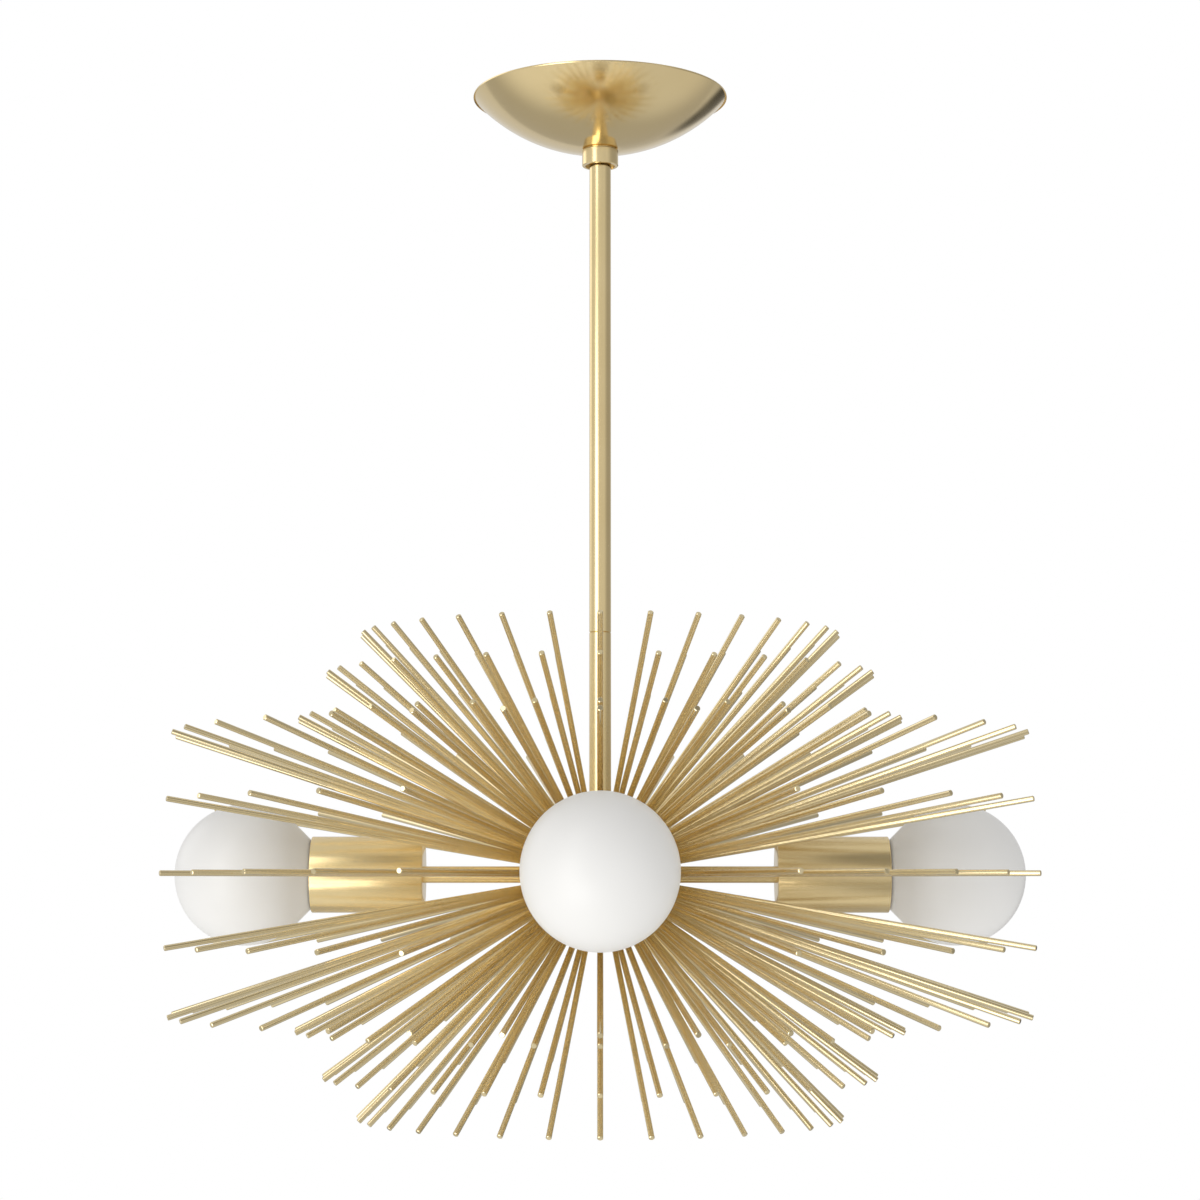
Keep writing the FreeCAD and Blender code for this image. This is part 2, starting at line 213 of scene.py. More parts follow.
def room_patch(azimuth, elevation, outer, inner, gain):
    """A soft round patch, whole within the inner angle and gone past the outer."""
    nearness = room_nodes.new("ShaderNodeVectorMath")
    nearness.operation = "DOT_PRODUCT"
    room_links.new(room_way, nearness.inputs[0])
    nearness.inputs[1].default_value = aim(azimuth, elevation)
    return room_fade(
        nearness.outputs["Value"],
        math.cos(math.radians(outer)),
        math.cos(math.radians(inner)),
        0.0,
        gain,
    )


room_split = room_nodes.new("ShaderNodeSeparateXYZ")
room_links.new(room_way, room_split.inputs[0])
room_height = room_split.outputs["Z"]
walls = room_fade(room_height, wall_foot, wall_top, wall_foot_level, wall_level)
walls = room_sum("ADD", walls, room_patch(azimuth=-120, elevation=26, outer=26, inner=6, gain=0.85))
walls = room_sum("ADD", walls, room_patch(azimuth=104, elevation=8, outer=62, inner=6, gain=-0.32))
walls = room_sum("ADD", walls, room_patch(azimuth=168, elevation=-24, outer=17, inner=5, gain=-0.18))
walls = room_sum("ADD", walls, room_patch(azimuth=154, elevation=-8, outer=15, inner=6, gain=-0.50))
walls = room_sum("ADD", walls, room_patch(azimuth=30, elevation=44, outer=30, inner=16, gain=-0.42))
walls = room_sum("ADD", walls, room_patch(azimuth=-14, elevation=50, outer=24, inner=8, gain=-0.10))
ground = ground_level
ground = room_sum("ADD", ground, room_patch(azimuth=-62, elevation=-54, outer=54, inner=20, gain=0.38))
ground = room_sum("ADD", ground, room_patch(azimuth=94, elevation=-50, outer=44, inner=16, gain=0.21))
ground = room_sum("ADD", ground, room_patch(azimuth=0, elevation=-90, outer=32, inner=8, gain=0.09))
edge_start = ground_edge - ground_edge_blur
edge_end = ground_edge + ground_edge_blur
room_above = room_fade(room_height, edge_start, edge_end, first=0.0, last=1.0)
mirrored = room_sum("MULTIPLY", room_sum("SUBTRACT", walls, ground), room_above)
mirrored = room_sum("ADD", mirrored, ground)
room_path = room_nodes.new("ShaderNodeLightPath")
room_level = room_sum("MULTIPLY", mirrored, room_path.outputs["Is Glossy Ray"])
room_level = room_sum("ADD", room_level, room_path.outputs["Is Camera Ray"])
room_level = room_sum("ADD", room_level, room_path.outputs["Is Transmission Ray"])
room_even = room_sum("MULTIPLY", room_path.outputs["Is Diffuse Ray"], room_even_light)
room_level = room_sum("ADD", room_level, room_even)
room_paint = room_nodes.new("ShaderNodeBackground")
room_paint.inputs["Color"].default_value = studio_white
room_links.new(room_level, room_paint.inputs["Strength"])
room_out = room_nodes.new("ShaderNodeOutputWorld")
room_links.new(room_paint.outputs[0], room_out.inputs["Surface"])

# Floor: a plain pale round floor, a normal ceiling height below the mounting bar. The lens sees
# it nearly as white as the walls, which it runs into without an edge, with a soft shadow on it.
floor_drop = 2.4
floor_r = 6.0
floor_sides = 96
floor_pale = (0.82, 0.82, 0.81, 1)
floor_grey = (0.78, 0.78, 0.77, 1)
floor_roughness = 0.85
floor_white_share = 0.75
floor_plain_reach = 3.4
floor_cloud_scale = 1.5
floor_cloud_detail = 2.0


def noise(nodes, links, place, scale, detail):
    """The strength of a noise texture at each place."""
    texture = nodes.new("ShaderNodeTexNoise")
    texture.inputs["Scale"].default_value = scale
    texture.inputs["Detail"].default_value = detail
    links.new(place, texture.inputs["Vector"])
    return texture.outputs["Fac"]


def tint(nodes, links, shader, share, first, second):
    """Lets the base colour go from the first tone to the second with the share."""
    tone = nodes.new("ShaderNodeMix")
    tone.data_type = "RGBA"
    first_color, second_color = [socket for socket in tone.inputs if socket.type == "RGBA"]
    first_color.default_value = first
    second_color.default_value = second
    links.new(share, tone.inputs["Factor"])
    result = [socket for socket in tone.outputs if socket.type == "RGBA"][0]
    links.new(result, shader.inputs["Base Color"])


bpy.ops.object.select_all(action="DESELECT")
bpy.ops.mesh.primitive_circle_add(
    vertices=floor_sides, radius=floor_r, fill_type="NGON", location=(0, 0, -floor_drop)
)
floor = bpy.context.object
floor.name = "studio_floor"
bpy.ops.object.transform_apply(location=True, rotation=False, scale=False)
floor.visible_glossy = False
floor_paint = bpy.data.materials.new("floor_paint")
floor_paint.use_nodes = True
floor_nodes = floor_paint.node_tree.nodes
floor_links = floor_paint.node_tree.links
floor_shader = floor_nodes["Principled BSDF"]
floor_shader.inputs["Roughness"].default_value = floor_roughness
floor_place = floor_nodes.new("ShaderNodeTexCoord").outputs["Object"]
floor_cloud = noise(floor_nodes, floor_links, floor_place, floor_cloud_scale, floor_cloud_detail)
tint(floor_nodes, floor_links, floor_shader, floor_cloud, floor_pale, floor_grey)
floor_glow = floor_nodes.new("ShaderNodeEmission")
floor_glow.inputs["Color"].default_value = studio_white
floor_reach = floor_nodes.new("ShaderNodeVectorMath")
floor_reach.operation = "LENGTH"
floor_links.new(floor_place, floor_reach.inputs[0])
floor_fade = floor_nodes.new("ShaderNodeMapRange")
floor_fade.interpolation_type = "SMOOTHSTEP"
floor_fade.inputs["From Min"].default_value = floor_plain_reach
floor_fade.inputs["From Max"].default_value = floor_r
floor_fade.inputs["To Min"].default_value = floor_white_share
floor_links.new(floor_reach.outputs["Value"], floor_fade.inputs["Value"])
floor_mix = floor_nodes.new("ShaderNodeMixShader")
floor_links.new(floor_fade.outputs["Result"], floor_mix.inputs["Fac"])
floor_links.new(floor_shader.outputs[0], floor_mix.inputs[1])
floor_links.new(floor_glow.outputs[0], floor_mix.inputs[2])
floor_links.new(floor_mix.outputs[0], floor_nodes["Material Output"].inputs["Surface"])
floor.data.materials.append(floor_paint)

# Mounting bar: a flat steel crossbar, zinc plated, with a slot near each end for the outlet
# box's screws, a tapped hole in the middle and a smaller one for the ground screw.
MM = 0.001
bar_corner_r = 6.0 * MM
bar_slot_spacing = 79.4 * MM
bar_slot_length = 14.0 * MM
bar_slot_r = 2.25 * MM
bar_tap_r = 5.2 * MM
ground_hole_r = 2.5 * MM
ground_x = 22.0 * MM
bar_edge = 0.25 * MM
cut_past = 1.0 * MM
zinc_pale = (0.43, 0.44, 0.45, 1)
zinc_blue = (0.35, 0.37, 0.40, 1)
zinc_roughness = 0.5
zinc_spangle = 180
bar_smooth_angle = 20
bar_corner_steps = 8
plate_detail = 5.0
plate_finer = 4
plate_gloss_down = 0.06
plate_gloss_up = 0.1
plate_relief = 0.3
plate_relief_depth = 0.01 * MM


def polish(nodes, links, shader, share, low, high, start=0.0, end=1.0):
    """Lets the roughness go from low to high as the share goes from start to end."""
    amount = nodes.new("ShaderNodeMapRange")
    amount.inputs["From Min"].default_value = start
    amount.inputs["From Max"].default_value = end
    amount.inputs["To Min"].default_value = low
    amount.inputs["To Max"].default_value = high
    links.new(share, amount.inputs["Value"])
    links.new(amount.outputs["Result"], shader.inputs["Roughness"])


def emboss(nodes, links, shader, height, strength, depth):
    """A fine relief in the surface."""
    relief = nodes.new("ShaderNodeBump")
    relief.inputs["Strength"].default_value = strength
    relief.inputs["Distance"].default_value = depth
    links.new(height, relief.inputs["Height"])
    links.new(relief.outputs["Normal"], shader.inputs["Normal"])


def plated_metal(name, pale, deep, roughness, spangle):
    """Plated or stamped metal, with faint patches in its tone and its gloss."""
    metal = bpy.data.materials.new(name)
    metal.use_nodes = True
    nodes = metal.node_tree.nodes
    links = metal.node_tree.links
    shader = nodes["Principled BSDF"]
    shader.inputs["Metallic"].default_value = 1.0
    place = nodes.new("ShaderNodeTexCoord").outputs["Object"]
    patches = nodes.new("ShaderNodeTexVoronoi")
    patches.inputs["Scale"].default_value = spangle
    links.new(place, patches.inputs["Vector"])
    fine = noise(nodes, links, place, spangle * plate_finer, plate_detail)
    tint(nodes, links, shader, patches.outputs["Distance"], pale, deep)
    polish(nodes, links, shader, fine, roughness - plate_gloss_down, roughness + plate_gloss_up)
    emboss(nodes, links, shader, fine, plate_relief, plate_relief_depth)
    return metal


def round_bar(radius, low, high, x=0.0, sides=48):
    """A plain cylinder along Z, as stock to cut or to cut with."""
    bpy.ops.object.select_all(action="DESELECT")
    middle = (x, 0, (low + high) / 2)
    bpy.ops.mesh.primitive_cylinder_add(vertices=sides, radius=radius, depth=high - low, location=middle)
    bpy.ops.object.transform_apply(location=True, rotation=False, scale=False)
    return bpy.context.object


def block(low, high):
    """A plain block between two corners."""
    bpy.ops.object.select_all(action="DESELECT")
    bpy.ops.mesh.primitive_cube_add(size=1, location=(low + high) / 2)
    bpy.context.object.scale = high - low
    bpy.ops.object.transform_apply(location=True, rotation=False, scale=True)
    return bpy.context.object


def apply_modifier(piece, kind, **settings):
    """Adds one modifier with its settings and applies it."""
    bpy.ops.object.select_all(action="DESELECT")
    piece.select_set(True)
    bpy.context.view_layer.objects.active = piece
    modifier = piece.modifiers.new(kind.lower(), kind)
    for name, value in settings.items():
        setattr(modifier, name, value)
    bpy.ops.object.modifier_apply(modifier=modifier.name)


def cut(piece, *cutters, operation="DIFFERENCE"):
    """Cuts the cutters out of the piece, or keeps only what lies in both, and uses them up."""
    for cutter in cutters:
        apply_modifier(piece, "BOOLEAN", operation=operation, object=cutter, solver="EXACT")
        bpy.data.objects.remove(cutter)


def soften(piece, width, segments=2, angle=40):
    """A fine bevel along every edge that turns by more than the angle."""
    limit = math.radians(angle)
    apply_modifier(piece, "BEVEL", width=width, segments=segments, limit_method="ANGLE", angle_limit=limit)


def bevel_edges(piece, chosen, offset, segments):
    """A bevel along the edges that the test chooses by their two ends."""
    bpy.ops.object.mode_set(mode="EDIT")
    bpy.ops.mesh.select_mode(type="EDGE")
    bpy.ops.mesh.select_all(action="DESELECT")
    bpy.ops.object.mode_set(mode="OBJECT")
    for edge in piece.data.edges:
        start, end = [piece.data.vertices[index].co for index in edge.vertices]
        edge.select = chosen(start, end)
    bpy.ops.object.mode_set(mode="EDIT")
    bpy.ops.mesh.bevel(offset=offset, segments=segments, affect="EDGES")
    bpy.ops.object.mode_set(mode="OBJECT")


def finish_piece(piece, name, material, body, slot, *nodes, smooth=30):
    """Smooth shading up to an angle in degrees, one material, and its place in the frame."""
    piece.name = name
    bpy.ops.object.select_all(action="DESELECT")
    piece.select_set(True)
    bpy.context.view_layer.objects.active = piece
    bpy.ops.object.shade_smooth_by_angle(angle=math.radians(smooth))
    piece.data.materials.clear()
    piece.data.materials.append(material)
    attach(piece, body)
    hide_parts(*nodes)


zinc = plated_metal("zinc_plate", zinc_pale, zinc_blue, zinc_roughness, zinc_spangle)
bar_low, bar_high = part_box("mounting_bar")
bar_t = bar_high.z - bar_low.z
bar = block(bar_low, bar_high)
bevel_edges(bar, lambda start, end: abs(start.z - end.z) > bar_t / 2, bar_corner_r, bar_corner_steps)
below = bar_low.z - cut_past
above = bar_high.z + cut_past
slot_half = bar_slot_length / 2 - bar_slot_r
for side in (-1, 1):
    middle = side * bar_slot_spacing / 2
    slot_low = Vector((middle - slot_half, -bar_slot_r, below))
    slot_high = Vector((middle + slot_half, bar_slot_r, above))
    slot_ends = [round_bar(bar_slot_r, below, above, middle + end * slot_half) for end in (-1, 1)]
    cut(bar, block(slot_low, slot_high), *slot_ends)
cut(bar, round_bar(bar_tap_r, below, above), round_bar(ground_hole_r, below, above, ground_x))
soften(bar, bar_edge)
finish_piece(
    bar,
    "mounting_bar_plate",
    zinc,
    "fixture",
    "zinc_steel",
    "mounting_bar",
    smooth=bar_smooth_angle,
)

# Ground screw: a green slotted screw in the bar, for the bare ground wire. Its shank is
# threaded, and its head is turned with a slightly rounded edge.
ground_low, ground_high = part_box("ground_screw")
ground_head_r = (ground_high.x - ground_low.x) / 2
ground_shank_r = 2.1 * MM
ground_thread = 0.25 * MM
ground_pitch = 0.79 * MM
ground_slot_width = 1.2 * MM
ground_slot_depth = 1.2 * MM
ground_round = 0.5 * MM
ground_sides = 40
ground_thread_sides = 32
plain_thread_corners = 4
round_middle = 0.3
green_pale = (0.05, 0.30, 0.11, 1)
green_deep = (0.03, 0.20, 0.07, 1)
green_roughness = 0.34
green_spangle = 300
weld_within = 0.002 * MM
ridge_width_share = 0.9


def turned(profile, sides):
    """A turned piece, worked up ring by ring: each (radius, height) extrudes the last ring's
    edge and resizes it. A radius of zero closes to a point, and a last ring on the first one
    closes the section."""
    bpy.ops.object.select_all(action="DESELECT")
    start_r, start_z = profile[0]
    pole_start = start_r == 0
    if pole_start:
        pole_z = start_z
        profile = profile[1:]
        start_r, start_z = profile[0]
    bpy.ops.mesh.primitive_circle_add(vertices=sides, radius=start_r, location=(0, 0, start_z))
    piece = bpy.context.object
    bpy.ops.object.transform_apply(location=True, rotation=False, scale=False)
    bpy.ops.object.mode_set(mode="EDIT")
    bpy.ops.mesh.select_all(action="SELECT")
    if pole_start:
        bpy.ops.mesh.extrude_region_move(TRANSFORM_OT_translate={"value": (0, 0, pole_z - start_z)})
        bpy.ops.mesh.merge(type="CENTER")
        bpy.ops.mesh.select_all(action="DESELECT")
        bpy.ops.object.mode_set(mode="OBJECT")
        for vertex in piece.data.vertices:
            vertex.select = vertex.co.xy.length > start_r / 2
        bpy.ops.object.mode_set(mode="EDIT")
        bpy.ops.mesh.select_mode(type="VERT")
    last_r, last_z = start_r, start_z
    for radius, height in profile[1:]:
        bpy.ops.mesh.extrude_region_move(TRANSFORM_OT_translate={"value": (0, 0, height - last_z)})
        if radius == 0:
            bpy.ops.mesh.merge(type="CENTER")
            break
        share = radius / last_r
        if share != 1:
            bpy.ops.transform.resize(value=(share, share, 1), center_override=(0, 0, height))
        last_r, last_z = radius, height
    bpy.ops.mesh.select_all(action="SELECT")
    bpy.ops.mesh.remove_doubles(threshold=weld_within)
    bpy.ops.mesh.normals_make_consistent(inside=False)
    bpy.ops.object.mode_set(mode="OBJECT")
    return piece


def thread(root_r, rise, pitch, low, turns, corners, sides):
    """A screw thread along Z: a small ring for its section, swept by a screw modifier."""
    ridge_half = ridge_width_share * pitch / 2
    bpy.ops.object.select_all(action="DESELECT")
    bpy.ops.mesh.primitive_circle_add(vertices=corners, radius=rise, rotation=(math.pi / 2, 0, 0))
    ridge = bpy.context.object
    ridge.location = (root_r, 0, low + pitch / 2)
    ridge.scale = (1, ridge_half / rise, 1)
    bpy.ops.object.transform_apply(location=True, rotation=True, scale=True)
    apply_modifier(ridge, "SCREW", screw_offset=pitch, iterations=turns, steps=sides, render_steps=sides)
    bpy.ops.object.mode_set(mode="EDIT")
    bpy.ops.mesh.select_all(action="SELECT")
    bpy.ops.mesh.fill_holes(sides=0)
    bpy.ops.mesh.normals_make_consistent(inside=False)
    bpy.ops.object.mode_set(mode="OBJECT")
    return ridge


def join(piece, *others):
    """Makes the others part of the piece."""
    bpy.ops.object.select_all(action="DESELECT")
    for other in others:
        other.select_set(True)
    piece.select_set(True)
    bpy.context.view_layer.objects.active = piece
    bpy.ops.object.join()
    return piece


green = plated_metal("ground_green", green_pale, green_deep, green_roughness, green_spangle)
ground_profile = [
    (0, ground_low.z),
    (ground_head_r - ground_round, ground_low.z),
    (ground_head_r - ground_round * round_middle, ground_low.z + ground_round * round_middle),
    (ground_head_r, ground_low.z + ground_round),
    (ground_head_r, bar_low.z),
    (ground_shank_r, bar_low.z),
    (ground_shank_r, ground_high.z - ground_round),
    (ground_shank_r - ground_round, ground_high.z),
    (0, ground_high.z),
]
ground_screw = turned(ground_profile, ground_sides)
slot_low = Vector((-2 * ground_head_r, -ground_slot_width / 2, ground_low.z - cut_past))
slot_high = Vector((2 * ground_head_r, ground_slot_width / 2, ground_low.z + ground_slot_depth))
cut(ground_screw, block(slot_low, slot_high))
ground_turns = int((ground_high.z - bar_low.z) / ground_pitch) - 2
ground_ridge = thread(
    ground_shank_r,
    ground_thread,
    ground_pitch,
    bar_low.z,
    ground_turns,
    plain_thread_corners,
    ground_thread_sides,
)
join(ground_screw, ground_ridge)
ground_screw.data.transform(Matrix.Translation((ground_x, 0, 0)))
finish_piece(ground_screw, "ground_screw_green", green, "fixture", "ground_green", "ground_screw")

# Ceiling nipple: a length of threaded steel tube, locked in the bar's tapped hole. The supply
# wires run through it into the stem, which screws up onto it.
nipple_low, nipple_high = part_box("ceiling_nipple")
nipple_r = (nipple_high.x - nipple_low.x) / 2
nipple_bore_r = 3.5 * MM
nipple_pitch = 0.94 * MM
nipple_thread = 0.42 * MM
nipple_root_r = nipple_r - nipple_thread
nipple_sides = 48
nipple_thread_sides = 40
nipple_profile = [
    (nipple_bore_r, nipple_low.z),
    (nipple_root_r, nipple_low.z),
    (nipple_root_r, nipple_high.z),
    (nipple_bore_r, nipple_high.z),
    (nipple_bore_r, nipple_low.z),
]
nipple_turns = int((nipple_high.z - nipple_low.z) / nipple_pitch) - 1
nipple_tube = turned(nipple_profile, nipple_sides)
nipple_ridge = thread(
    nipple_root_r,
    nipple_thread,
    nipple_pitch,
    nipple_low.z,
    nipple_turns,
    plain_thread_corners,
    nipple_thread_sides,
)
join(nipple_tube, nipple_ridge)
finish_piece(nipple_tube, "ceiling_nipple_tube", zinc, "fixture", "zinc_steel", "ceiling_nipple")

# Locknut under the bar: a stamped hexagon nut with its corners turned off at both faces. The
# hidden nuts and tubes in the stem, ball and cups keep their own shapes and get its plating.
nut_low, nut_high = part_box("bar_locknut")
nut_corner_r = (nut_high.x - nut_low.x) / 2
nut_flat_r = (nut_high.y - nut_low.y) / 2
nut_sides = 6
nut_turned_sides = 96
nut_turned_r = nut_flat_r * 0.98
nut_past_r = nut_corner_r * 1.05
nut_slope = math.tan(math.radians(30))
nut_chamfer = (nut_past_r - nut_turned_r) * nut_slope
nut_end_r = nut_turned_r - cut_past / nut_slope
nut = round_bar(nut_corner_r, nut_low.z, nut_high.z, sides=nut_sides)
nut.data.transform(Matrix.Rotation(math.pi / nut_sides, 4, "Z"))
nut_shape = [
    (0, nut_low.z - cut_past),
    (nut_end_r, nut_low.z - cut_past),
    (nut_past_r, nut_low.z + nut_chamfer),
    (nut_past_r, nut_high.z - nut_chamfer),
    (nut_end_r, nut_high.z + cut_past),
    (0, nut_high.z + cut_past),
]
cut(nut, turned(nut_shape, nut_turned_sides), operation="INTERSECT")
cut(nut, round_bar(nipple_r, nut_low.z - cut_past, nut_high.z + cut_past))
finish_piece(nut, "bar_locknut_hexagon", zinc, "fixture", "zinc_steel", "bar_locknut")


def dress(material, *nodes):
    """The finish of nodes that keep their own shapes."""
    for node in nodes:
        piece = frame["nodes"][node]
        piece.data.materials.clear()
        piece.data.materials.append(material)


dress(zinc, "stem_coupling", "hub_nipple", "hub_locknut", "cup_locknuts")

# Canopy: a dome spun from brass sheet, with its edge rolled to a fine bead and a hole for the
# stem. It hangs on the slip collar and hides the mounting bar.
canopy_low, canopy_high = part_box("canopy")
canopy_rim_r = (canopy_high.x - canopy_low.x) / 2
canopy_depth = 32.5 * MM
canopy_wall = 1.0 * MM
canopy_bead_r = 0.8 * MM
canopy_flat_r = 11.7 * MM
canopy_hole_r = 6.65 * MM
canopy_sides = 144
canopy_rings = 28
canopy_bead_steps = 8
canopy_roughness = 0.14
brass_color = (0.84, 0.67, 0.365, 1)
brass_shade = (0.80, 0.63, 0.33, 1)
lacquer = 0.2
lacquer_roughness = 0.05
spun_grain = (25, 25, 2200)
spun_grain_depth = 0.0002 * MM
grain_detail = 3.0
grain_relief = 0.2
tone_cloud_scale = 22.0
noise_low = 0.3
noise_high = 0.7
brass_gloss_down = 0.01
brass_gloss_up = 0.015


def satin_brass(name, color, shade, roughness, grain_depth, grain_scale, grain_source="Object"):
    """Satin brass under lacquer. The grain runs where grain_scale is smallest."""
    metal = bpy.data.materials.new(name)
    metal.use_nodes = True
    nodes = metal.node_tree.nodes
    links = metal.node_tree.links
    shader = nodes["Principled BSDF"]
    shader.inputs["Metallic"].default_value = 1.0
    shader.inputs["Coat Weight"].default_value = lacquer
    shader.inputs["Coat Roughness"].default_value = lacquer_roughness
    place = nodes.new("ShaderNodeTexCoord")
    stretch = nodes.new("ShaderNodeMapping")
    stretch.inputs["Scale"].default_value = grain_scale
    links.new(place.outputs[grain_source], stretch.inputs["Vector"])
    grain = noise(nodes, links, stretch.outputs[0], scale=1.0, detail=grain_detail)
    cloud = noise(nodes, links, place.outputs["Object"], tone_cloud_scale, grain_detail)
    tone_share = nodes.new("ShaderNodeMapRange")
    tone_share.inputs["From Min"].default_value = noise_low
    tone_share.inputs["From Max"].default_value = noise_high
    links.new(cloud, tone_share.inputs["Value"])
    tint(nodes, links, shader, tone_share.outputs["Result"], color, shade)
    smooth = roughness - brass_gloss_down
    rough = roughness + brass_gloss_up
    polish(nodes, links, shader, grain, smooth, rough, noise_low, noise_high)
    emboss(nodes, links, shader, grain, grain_relief, grain_depth)
    return metal


def arc(centre_r, centre_z, radius, start, end, steps):
    """Points (radius, height) along an arc. Angles are from straight down, towards outwards."""
    points = []
    for step in range(steps + 1):
        angle = start + (end - start) * step / steps
        points.append((centre_r + radius * math.sin(angle), centre_z - radius * math.cos(angle)))
    return points


canopy_brass = satin_brass(
    "canopy_brass", brass_color, brass_shade, canopy_roughness, spun_grain_depth, spun_grain
)
dome_r = (canopy_rim_r**2 + canopy_depth**2) / (2 * canopy_depth)
dome_z = dome_r - canopy_depth
flat_angle = math.asin(canopy_flat_r / dome_r)
rim_angle = math.asin((canopy_rim_r - canopy_bead_r / 4) / dome_r)
outer_curve = arc(0, dome_z, dome_r, flat_angle, rim_angle, canopy_rings)
inner_r = dome_r - canopy_wall
inner_rim_angle = math.acos((dome_z + canopy_bead_r) / inner_r)
inner_curve = arc(0, dome_z, inner_r, inner_rim_angle, flat_angle, canopy_rings)
bead_start = math.radians(60)
bead_end = math.radians(250)
bead_r = canopy_rim_r - canopy_bead_r
bead = arc(bead_r, -canopy_bead_r, canopy_bead_r, bead_start, bead_end, canopy_bead_steps)
flat_z = outer_curve[0][1]
canopy_profile = [(canopy_hole_r, flat_z)] + outer_curve + bead + inner_curve
canopy_profile += [(canopy_hole_r, flat_z + canopy_wall), (canopy_hole_r, flat_z)]
canopy = turned(canopy_profile, canopy_sides)
finish_piece(canopy, "canopy_dome", canopy_brass, "canopy_set", "satin_brass", "canopy")

# Slip collar: a short turned brass sleeve, recessed below, that grips the stem with a
# headless screw of blackened steel at the back. The canopy rests on its narrower top.
collar_low, collar_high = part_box("canopy_collar")
collar_r = (collar_high.x - collar_low.x) / 2
collar_bore_r = 6.65 * MM
collar_recess_r = 8.8 * MM
collar_recess = 1.6 * MM
collar_edge = 0.35 * MM
collar_neck = 1.3 * MM
collar_neck_height = 0.6 * MM
collar_screw_r = 2.1 * MM
tube_sides = 64
black_pale = (0.055, 0.055, 0.06, 1)
black_deep = (0.025, 0.025, 0.03, 1)
black_roughness = 0.4
black_spangle = 400
drawn_grain_depth = 0.0001 * MM
upright_grain = (2600, 2600, 30)
tube_roughness = 0.18
tube_brass = satin_brass(
    "tube_brass", brass_color, brass_shade, tube_roughness, drawn_grain_depth, upright_grain
)
collar_top = collar_high.z - collar_neck_height
collar_profile = [
    (collar_bore_r, collar_high.z),
    (collar_r - collar_neck, collar_high.z),
    (collar_r - collar_neck, collar_top),
    (collar_r - collar_edge, collar_top),
    (collar_r, collar_top - collar_edge),
    (collar_r, collar_low.z + collar_edge),
    (collar_r - collar_edge, collar_low.z),
    (collar_recess_r, collar_low.z),
    (collar_recess_r, collar_low.z + collar_recess),
    (collar_bore_r, collar_low.z + collar_recess),
    (collar_bore_r, collar_high.z),
]
collar = turned(collar_profile, tube_sides)
collar_hole = round_bar(collar_screw_r, 0, 2 * collar_r)
back_way = Matrix.Rotation(-math.pi / 2, 4, "X")
collar_middle = Matrix.Translation((0, 0, (collar_low.z + collar_high.z) / 2))
collar_hole.data.transform(collar_middle @ back_way)
cut(collar, collar_hole)
finish_piece(collar, "slip_collar", tube_brass, "canopy_set", "satin_brass", "canopy_collar")
black_steel = plated_metal("blackened_steel", black_pale, black_deep, black_roughness, black_spangle)
dress(black_steel, "collar_set_screw")

# Stem: two brass tubes screwed together on a hidden coupling, their ends chamfered so that
# the joint shows as a fine groove.
stem_bore_r = 5.2 * MM
stem_chamfer = 0.4 * MM
for node in ("upper_stem", "lower_stem"):
    stem_low, stem_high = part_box(node)
    stem_r = (stem_high.x - stem_low.x) / 2
    stem_profile = [
        (stem_bore_r, stem_high.z),
        (stem_r - stem_chamfer, stem_high.z),
        (stem_r, stem_high.z - stem_chamfer),
        (stem_r, stem_low.z + stem_chamfer),
        (stem_r - stem_chamfer, stem_low.z),
        (stem_bore_r, stem_low.z),
        (stem_bore_r, stem_high.z),
    ]
    stem = turned(stem_profile, tube_sides)
    finish_piece(stem, node + "_tube", tube_brass, "fixture", "satin_brass", node)

# Ball: two pressed brass halves soldered together and dressed until the seam is gone, flat
# where the stem seats and where the bottom plug closes the wiring port.
ball_low, ball_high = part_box("hub_ball")
ball_r = 38.1 * MM
ball_sides = 96
ball_rings = 40
ball_top = math.pi - math.acos((ball_high.z - hub_z) / ball_r)
ball_bottom = math.acos((hub_z - ball_low.z) / ball_r)
ball_roughness = 0.17
ball_brass = satin_brass(
    "ball_brass", brass_color, brass_shade, ball_roughness, spun_grain_depth, spun_grain
)
ball_profile = [(0, ball_low.z)]
ball_profile += arc(0, hub_z, ball_r, ball_bottom, ball_top, ball_rings)
ball_profile += [(0, ball_high.z)]
ball = turned(ball_profile, ball_sides)
finish_piece(ball, "hub_ball_shell", ball_brass, "fixture", "satin_brass", "hub_ball")

# Bottom plug: the turned lid of the wiring port, which completes the ball. It has a fine
# groove where it meets the ball, and a slot to turn it with a coin.
plug_low, plug_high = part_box("hub_bottom_cap")
plug_slot_length = 20.0 * MM
plug_slot_width = 2.0 * MM
plug_slot_depth = 1.5 * MM
plug_groove = 0.3 * MM
plug_spigot_r = 13.0 * MM
plug_rings = 10
plug_edge = math.asin(math.sin(ball_bottom) - plug_groove / ball_r)
plug_curve = arc(0, hub_z, ball_r, 0, plug_edge, plug_rings)
plug_profile = [(0, hub_z - ball_r)] + plug_curve[1:]
plug_profile += [
    (plug_curve[-1][0], ball_low.z),
    (plug_spigot_r, ball_low.z),
    (plug_spigot_r, plug_high.z),
    (0, plug_high.z),
]
plug = turned(plug_profile, ball_sides)
slot_low = Vector((-plug_slot_length / 2, -plug_slot_width / 2, plug_low.z - cut_past))
slot_high = Vector((plug_slot_length / 2, plug_slot_width / 2, plug_low.z + plug_slot_depth))
cut(plug, block(slot_low, slot_high))
finish_piece(plug, "hub_bottom_plug", ball_brass, "fixture", "satin_brass", "hub_bottom_cap")

